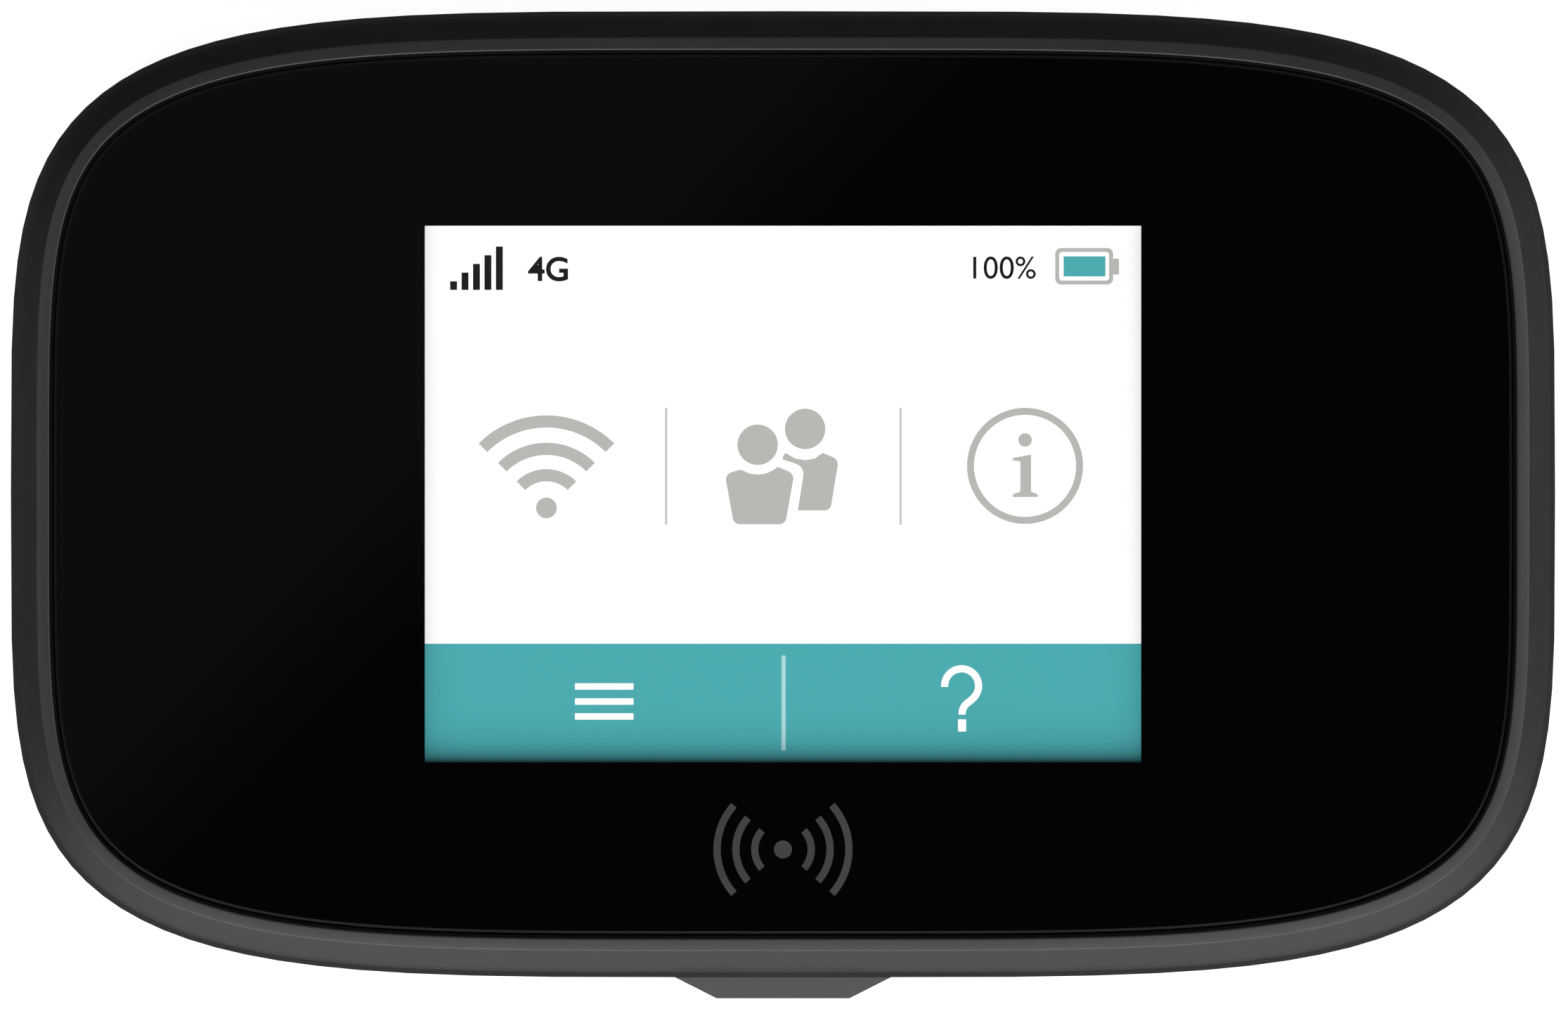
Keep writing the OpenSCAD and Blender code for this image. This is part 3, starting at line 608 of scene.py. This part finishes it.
def lettering(name, words, left, low, tall, finish, weight=0.0):
    """Plain words of that height, made a mesh and set with their lower left corner in place.
    weight is how far each letter's outline is moved out, as a share of the letter size."""
    curve = bpy.data.curves.new(name, "FONT")
    curve.body = words
    curve.extrude = 0.02
    curve.offset = weight
    text = bpy.data.objects.new(name + "_text", curve)
    bpy.context.collection.objects.link(text)
    mesh = bpy.data.meshes.new_from_object(text)
    bpy.data.objects.remove(text)
    points = np.empty(len(mesh.vertices) * 3)
    mesh.vertices.foreach_get("co", points)
    points = points.reshape(-1, 3)
    low_corner, high_corner = points.min(0), points.max(0)
    scale = tall / (high_corner[1] - low_corner[1])
    flat = (points[:, :2] - low_corner[:2]) * scale + (left, low)
    rise = (points[:, 2] > 0) * layer * 0.6 + cell_top + 0.01 + 2 * layer
    mesh.vertices.foreach_set("co", (np.column_stack([flat, rise]) * mm).ravel())
    mesh.materials.clear()
    mesh.materials.append(finish)
    made = bpy.data.objects.new(name, mesh)
    bpy.context.collection.objects.link(made)
    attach(made, "housing")
    return made


lettering("network_type", "4G", -17.6, 14.69, 1.7, lit_black, 0.02)
lettering("battery_percent", "100%", 13.13, 14.86, 1.55, lit_black)

# ---- display stack -------------------------------------------------------------------------
# The display is a sealed cell over a white backlight in a folded steel tray. A foam gasket and
# a black adhesive frame close it to the glass, and two amber flexes carry it to the board.


def finish_nodes(finish, *names):
    """Gives CAD nodes a finish."""
    for name in names:
        for material_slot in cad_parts[name].material_slots:
            material_slot.material = finish


def rows(tree, size, axis, low, high):
    """A stripe pattern of that period in mm along an axis: a triangle wave, clipped."""
    place = node(tree, "ShaderNodeTexCoord").outputs["Object"]
    along = node(tree, "ShaderNodeSeparateXYZ", Vector=place).outputs[axis]
    wave = math_of(tree, "PINGPONG", math_of(tree, "DIVIDE", along, size * mm), 0.5)
    return mapped(tree, wave, low, high, 0, 1)


def copper_lines(tree, base):
    """Copper conductors, 0.5 mm apart, seen through the amber film."""
    return two_tone(tree, rows(tree, 0.5, "Y", 0.22, 0.28), base, (0.62, 0.3, 0.1))


rolled_steel = finish_of("rolled_steel", (0.56, 0.56, 0.55), (0.24, 0.36), 0.5, 0.004, 0.04,
                         stretch=(0.06, 1, 1), Metallic=1)
polariser = finish_of("dark_polariser", (0.02, 0.022, 0.026), (0.25, 0.35), 0.3, 0.001, Coat_Weight=0.4)
diffuser_white = finish_of("diffuser_white", (0.82, 0.83, 0.82), (0.45, 0.6), 0.2, 0.002, 0.02)
foam_black = finish_of("black_foam", (0.014, 0.014, 0.015), (0.85, 0.95), 0.35, 0.06, 0.2)
tape_black = finish_of("black_tape", (0.02, 0.02, 0.02), (0.55, 0.7), 0.25, 0.01, 0.1)
amber_film = finish_of("amber_film", (0.42, 0.19, 0.035), (0.2, 0.3), 1.2, 0.004, 0.1,
                       print_of=copper_lines)
finish_nodes(polariser, "lcd_cell")
finish_nodes(diffuser_white, "lcd_backlight")
finish_nodes(rolled_steel, "lcd_frame")
finish_nodes(foam_black, "lcd_gasket")
finish_nodes(tape_black, "glass_adhesive")
finish_nodes(amber_film, "display_flex", "touch_flex")

# ---- mid plate -----------------------------------------------------------------------------
# A stamped steel plate carries the display and draws heat from the board through soft pads. Its
# four ears are screwed to the front housing.

zinc_screw = finish_of("zinc_screw_steel", (0.42, 0.41, 0.4), (0.22, 0.34), 0.3, 0.005, 0.06, Metallic=1)
pad_rubber = finish_of("heat_pad_rubber", (0.24, 0.29, 0.42), (0.6, 0.75), 0.4, 0.03, 0.12)
finish_nodes(rolled_steel, "mid_plate")
finish_nodes(zinc_screw, "plate_screws")
finish_nodes(pad_rubber, "thermal_pads")

# ---- main board ----------------------------------------------------------------------------
# A green fibreglass board with tinned shields over three groups of chips. Rows of ceramic parts
# and two flex connectors stand beside them, and four screws hold it to the chassis.


def board_tracks(tree, base):
    """Copper tracks under the solder mask: paler where a cell border or a via is near."""
    place = node(tree, "ShaderNodeTexCoord").outputs["Object"]
    cells = node(tree, "ShaderNodeTexVoronoi", Vector=place, Scale=1 / (2.2 * mm))
    cells.feature, cells.distance = "F1", "CHEBYCHEV"
    ring = math_of(tree, "PINGPONG", math_of(tree, "MULTIPLY", cells.outputs["Distance"], 3), 0.5)
    tracks = two_tone(tree, mapped(tree, ring, 0.36, 0.42, 0, 1), base, (0.03, 0.2, 0.09))
    dots = node(tree, "ShaderNodeTexVoronoi", Vector=place, Scale=1 / (1.7 * mm)).outputs["Distance"]
    return two_tone(tree, mapped(tree, dots, 0.1, 0.13, 1, 0), tracks, (0.5, 0.42, 0.2))


def ceramic_tones(tree, base):
    """Ceramic bodies of different browns and greys, by place on the board."""
    place = node(tree, "ShaderNodeTexCoord").outputs["Object"]
    tone = node(tree, "ShaderNodeTexNoise", Vector=place, Scale=1 / (3 * mm)).outputs[0]
    return two_tone(tree, mapped(tree, tone, 0.42, 0.58, 0, 1), base, (0.12, 0.11, 0.1))


solder_mask = finish_of("green_solder_mask", (0.012, 0.1, 0.045), (0.25, 0.35), 0.5, 0.004, 0.08,
                        print_of=board_tracks)
tinned_can = finish_of("tinned_can", (0.63, 0.62, 0.6), (0.2, 0.34), 0.4, 0.003, 0.05, Metallic=1)
chip_epoxy = finish_of("chip_epoxy", (0.014, 0.014, 0.015), (0.42, 0.55), 0.12, 0.008, 0.1)
ceramic = finish_of("ceramic_bodies", (0.32, 0.22, 0.13), (0.4, 0.55), 0.2, 0.004, 0.15,
                    print_of=ceramic_tones)
moulded_black = finish_of("moulded_black_plastic", (0.018, 0.018, 0.019), (0.36, 0.5), 0.14, 0.006, 0.06)
finish_nodes(solder_mask, "main_board")
finish_nodes(tinned_can, "modem_shield", "wifi_shield", "power_shield")
finish_nodes(ceramic, "board_passives")
finish_nodes(moulded_black, "flex_connectors")
finish_nodes(zinc_screw, "board_screws")


def edged_block(low, high, corner, edge, steps=4):
    """A block with round corners in plan and rounded top and bottom edges."""
    turn = np.linspace(0, np.pi / 2, steps + 1)
    bottom = [(edge * (1 - math.sin(t)), low[2] + edge * (1 - math.cos(t))) for t in turn]
    top = [(inset, low[2] + high[2] - z) for inset, z in bottom[::-1]]
    loops = [box_loop(low[0] + i, low[1] + i, high[0] - i, high[1] - i, corner - i)
             for i, z in bottom + top]
    heights = [z for i, z in bottom + top]
    return loft([np.column_stack([loop, np.full(len(loop), z)]) for loop, z in zip(loops, heights)])


def node_block(name, corner, edge):
    """An edged block that fills a CAD node's box."""
    low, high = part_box(name)
    return edged_block(low / mm, high / mm, corner, edge)


for chip in ("modem_chip", "memory_chip", "wifi_chip", "power_chip"):
    piece(chip + "_package", [node_block(chip, 0.3, 0.08)], chip_epoxy, "housing", [chip])

# ---- antennas ------------------------------------------------------------------------------
# Thin amber flexes with copper areas are bonded inside the chassis wall. Gilt spring clips on the
# board press on the two long ones.

gilt = finish_of("gilt_contacts", (0.87, 0.6, 0.23), (0.18, 0.3), 0.15, 0.002, 0.06, Metallic=1)
finish_nodes(amber_film, "main_antenna", "diversity_antenna", "wifi_antennas")
finish_nodes(gilt, "antenna_clips")

# ---- charging socket -----------------------------------------------------------------------
# A drawn steel shell with a black tongue and rows of gilt contacts opens in the boss at the middle
# of the bottom edge.


def welded(name):
    """A copy of a CAD node's triangles in mm, its doubled points merged by their rounded place."""
    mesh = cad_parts[name].data
    points = np.empty(len(mesh.vertices) * 3)
    mesh.vertices.foreach_get("co", points)
    corners = np.empty(len(mesh.loops), int)
    mesh.loops.foreach_get("vertex_index", corners)
    points = points.reshape(-1, 3) / mm
    rounded_place = np.round(points * 2000).astype(int)
    first, same = np.unique(rounded_place, axis=0, return_index=True, return_inverse=True)[1:]
    faces = same.ravel()[corners].reshape(-1, 3)
    whole = (faces[:, 0] != faces[:, 1]) & (faces[:, 1] != faces[:, 2]) & (faces[:, 2] != faces[:, 0])
    return points[first], faces[whole].tolist()


drawn_steel = finish_of("drawn_steel", (0.6, 0.6, 0.6), (0.2, 0.3), 0.3, 0.003, 0.04, Metallic=1)
piece("usb_shell", [welded("usb_socket")], drawn_steel, "housing", ["usb_socket"],
      sharp=30, flat_ends=False)
finish_nodes(moulded_black, "usb_tongue")
finish_nodes(gilt, "usb_contacts")

# ---- card socket ---------------------------------------------------------------------------
# A steel cage on the back of the board holds the small white card, which slides out under the
# battery. The card is white PVC with its corner cut off.

card_white = finish_of("card_white_plastic", (0.78, 0.78, 0.76), (0.3, 0.42), 0.3, 0.002, 0.02)
finish_nodes(rolled_steel, "sim_socket")
finish_nodes(card_white, "sim_card")

# ---- switches and power key ----------------------------------------------------------------
# The reset switch is pressed with a pin through its hole. The power key is a moulded cap in a
# scoop on the top edge, with a flange that keeps it in and a rib that reaches its switch.

finish_nodes(rolled_steel, "reset_switch", "power_switch")
finish_nodes(moulded_black, "reset_plunger", "power_plunger")

key_low, key_high = (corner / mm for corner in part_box("power_key"))
key_x, key_z = (key_low.x + key_high.x) / 2, (key_low.z + key_high.z) / 2
key_size, flange_size, key_face = (12, 2.9), (13.6, 3.8), key_high.y
flange_front = half_h - 1.9 - 0.45
flange_back = flange_front - 0.6
rib_size, rib_low = (2.2, 1.1), key_z - 0.65


def pill_stack(sizes_and_places):
    """A slot outline with round ends, standing in the XZ plane at the key, carried through
    (width, height, y) rings."""
    loops = []
    for wide, tall, y in sizes_and_places:
        loop = box_loop(key_x - wide / 2, key_z - tall / 2, key_x + wide / 2, key_z + tall / 2,
                        tall / 2 - 0.001)
        loops.append(np.column_stack([loop[:, 0], np.full(len(loop), y), loop[:, 1]]))
    return loft(loops)


crown_round = 0.45
crown = [(key_size[0] - 2 * crown_round * (1 - math.cos(t)),
          key_size[1] - 2 * crown_round * (1 - math.cos(t)),
          key_face - crown_round * (1 - math.sin(t))) for t in np.linspace(0, np.pi / 2, 7)]
key_plastic = finish_of("key_plastic", (0.03, 0.03, 0.031), (0.32, 0.42), 0.14, 0.005, 0.04)
piece("power_key_cap", [
    pill_stack([(*key_size, flange_front), *crown]),
    pill_stack([(*flange_size, flange_back), (*flange_size, flange_front)]),
    plate([box_loop(key_x - rib_size[0] / 2, key_low.y, key_x + rib_size[0] / 2, flange_back)],
          rib_low, rib_low + rib_size[1]),
], key_plastic, "power_key", ["power_key"])


def stood_up(part, y):
    """A flat part laid against a face that looks along +Y, its own height going outwards."""
    points, faces = part
    return np.column_stack([points[:, 0], y + points[:, 2], points[:, 1]]), faces


symbol_paint = finish_of("pale_symbol_paint", (0.42, 0.42, 0.42), (0.4, 0.5), 0.15, 0.002)
piece("power_symbol", [stood_up(plate([loop], -0.02, 0.015), key_face) for loop in (
    arc_band(key_x, key_z, 0.56, 0.74, 122, 418, 40),
    box_loop(key_x - 0.09, key_z + 0.1, key_x + 0.09, key_z + 0.86),
)], symbol_paint, "power_key")

# ---- battery -------------------------------------------------------------------------------
# A flat pack in a dark wrap with rounded edges, with a silver label on the side that faces the
# cover. Four gilt terminals meet sprung leaves in a black connector on the board.

wrap = finish_of("battery_wrap", (0.022, 0.022, 0.024), (0.3, 0.42), 0.5, 0.006, 0.08, Coat_Weight=0.2)
piece("battery_body", [node_block("battery_pack", 1.5, 0.5)], wrap, "battery", ["battery_pack"])


def label_print(tree, base):
    """Thin dark rules across the silver label, 4 mm apart."""
    return two_tone(tree, rows(tree, 4, "Y", 0.44, 0.47), base, (0.12, 0.12, 0.13))


label_silver = finish_of("label_silver", (0.52, 0.52, 0.53), (0.34, 0.46), 0.3, 0.002, 0.04,
                         print_of=label_print)
finish_nodes(label_silver, "battery_label")
finish_nodes(gilt, "battery_terminals", "battery_springs")
finish_nodes(moulded_black, "battery_connector")

# ---- chassis -------------------------------------------------------------------------------
# The moulded chassis is the middle band of the case, with a deck for the board, a bay for the
# battery and the boss round the charging port. Six screws from the back close it to the front.

piece("chassis_moulding", [welded("chassis")], satin_shell, "housing", ["chassis"],
      sharp=19, flat_ends=False)
finish_nodes(zinc_screw, "housing_screws")

# ---- rear cover ----------------------------------------------------------------------------
# A dished black cover with a finely sparked surface. It rounds in to a flat back, and tongues on
# its rim drop into the gap between the chassis wall and its skirt.

cover_wall = 1.2
case_split = ring_low - 0.06
cover_rim = 6.68
back_round, wall_offset = 8, 1.3


def back_inset(z, depth, run):
    """How far the back has rounded in at a height: a superellipse of power three."""
    fall = np.clip((case_split - z) / depth, 0, 1)
    return run * (1 - (1 - fall ** 3) ** (1 / 3))


climb = 1 - np.cos(np.linspace(0, np.pi / 2, 22))
outer = [(-back_inset(z, case_split, back_round), z) for z in cover_rim * climb[:-1]]
inner = [(-wall_offset - back_inset(z, case_split - cover_wall, back_round - wall_offset), z)
         for z in cover_wall + (cover_rim - cover_wall) * climb[-2::-1]]
rim_break = 0.12
outer_rim = -back_inset(cover_rim, case_split, back_round)
inner_rim = -wall_offset - back_inset(cover_rim, case_split - cover_wall, back_round - wall_offset)
lip = [(outer_rim, cover_rim - rim_break), (outer_rim - rim_break * 0.3, cover_rim - rim_break * 0.3),
       (outer_rim - rim_break, cover_rim), (inner_rim, cover_rim)]
dish = outer + lip + inner
tongue_long, tongue_thick, tongue_tall = 6, 0.8, 3.4
tongue_in, tongue_root = 2.3, 1.6


def cover_tongue(x, y, along_edge, through):
    """A tongue with round corners, of that size in plan, that thins towards its tip."""
    base = cover_rim - tongue_root
    loops = []
    for inset, z in ((0, base), (0, base + 2.6), (0.12, base + tongue_tall)):
        a, b = along_edge / 2 - inset, through / 2 - inset
        loop = box_loop(x - a, y - b, x + a, y + b, 0.15)
        loops.append(np.column_stack([loop, np.full(len(loop), z)]))
    return loft(loops)


sparked_black = finish_of("sparked_black_shell", (0.026, 0.026, 0.027), (0.49, 0.53), 0.28, 0.012, 0.03)
piece("rear_cover_shell", [
    case_loft(dish),
    *[cover_tongue(x, tongue_in - half_h, tongue_long, tongue_thick) for x in (-22, -8, 8)],
    *[cover_tongue(x, half_h - tongue_in, tongue_long, tongue_thick) for x in (-22, -8)],
    *[cover_tongue(side * (half_w - tongue_in), y, tongue_thick, tongue_long)
      for side in (-1, 1) for y in (-9, 9)],
], sparked_black, "rear_cover", ["rear_cover"], 30)
